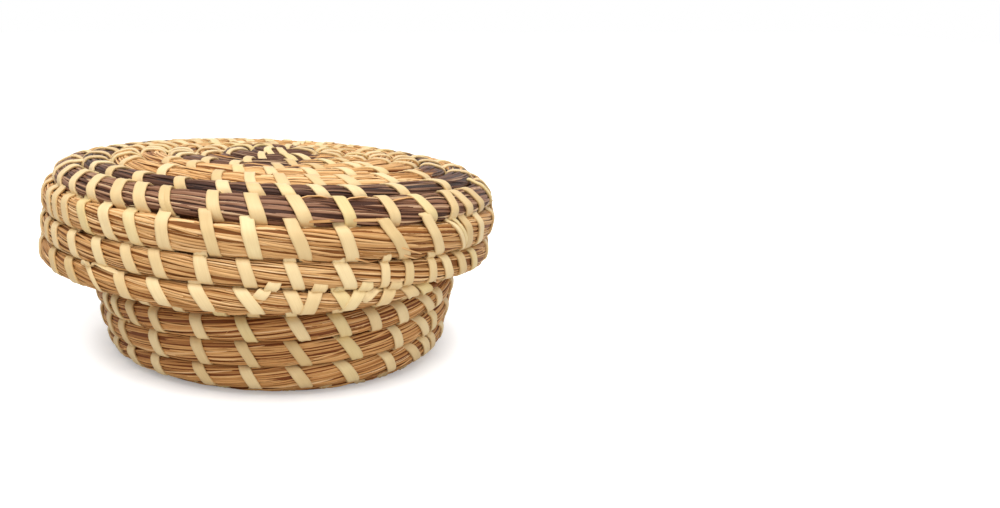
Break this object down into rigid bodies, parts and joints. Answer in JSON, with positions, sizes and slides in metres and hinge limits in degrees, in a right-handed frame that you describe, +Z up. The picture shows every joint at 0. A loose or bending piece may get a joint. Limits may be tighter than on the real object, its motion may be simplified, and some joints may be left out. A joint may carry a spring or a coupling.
{
  "type": "coiled lidded basket",
  "caption": "Low round coiled basket with flaring wall, inner neck and overhanging lid, sewn from grass and pine needle bundles with palm leaf strips.",
  "frame": {"origin": "middle of the flat underside of the basket, on the plane that it stands on", "axes": "+Z up through the knots of basket and lid, -Y towards the side where the lid's rim bundle runs out, +X to the right of that side"},
  "size_m": [0.1991, 0.1981, 0.0881],
  "materials": {
    "sweetgrass": "dry golden brown grass, faint satin sheen",
    "aged_sweetgrass": "dry reddish brown grass, faint satin sheen",
    "pine_needles": "dry dark brown needles, faint satin sheen",
    "palmetto": "smooth cream leaf strip, satin"
  },
  "bodies": {
    "basket": {"basket_knot": "aged_sweetgrass", "basket_floor_coil": "aged_sweetgrass", "basket_wall_coil": "aged_sweetgrass", "basket_neck_coil": "aged_sweetgrass"},
    "lid": {"lid_knot": "pine_needles", "lid_centre_coil": "pine_needles", "lid_top_coil": "sweetgrass", "lid_shoulder_coil": "pine_needles", "lid_back_coil": "sweetgrass", "lid_front_coil": "pine_needles", "lid_skirt_coil": "sweetgrass"}
  },
  "joints": [
    {"name": "lid_lift", "type": "slide", "parent": "basket", "child": "lid", "axis": [0, 0, 1], "range_m": [0, 0.06]}
  ]
}
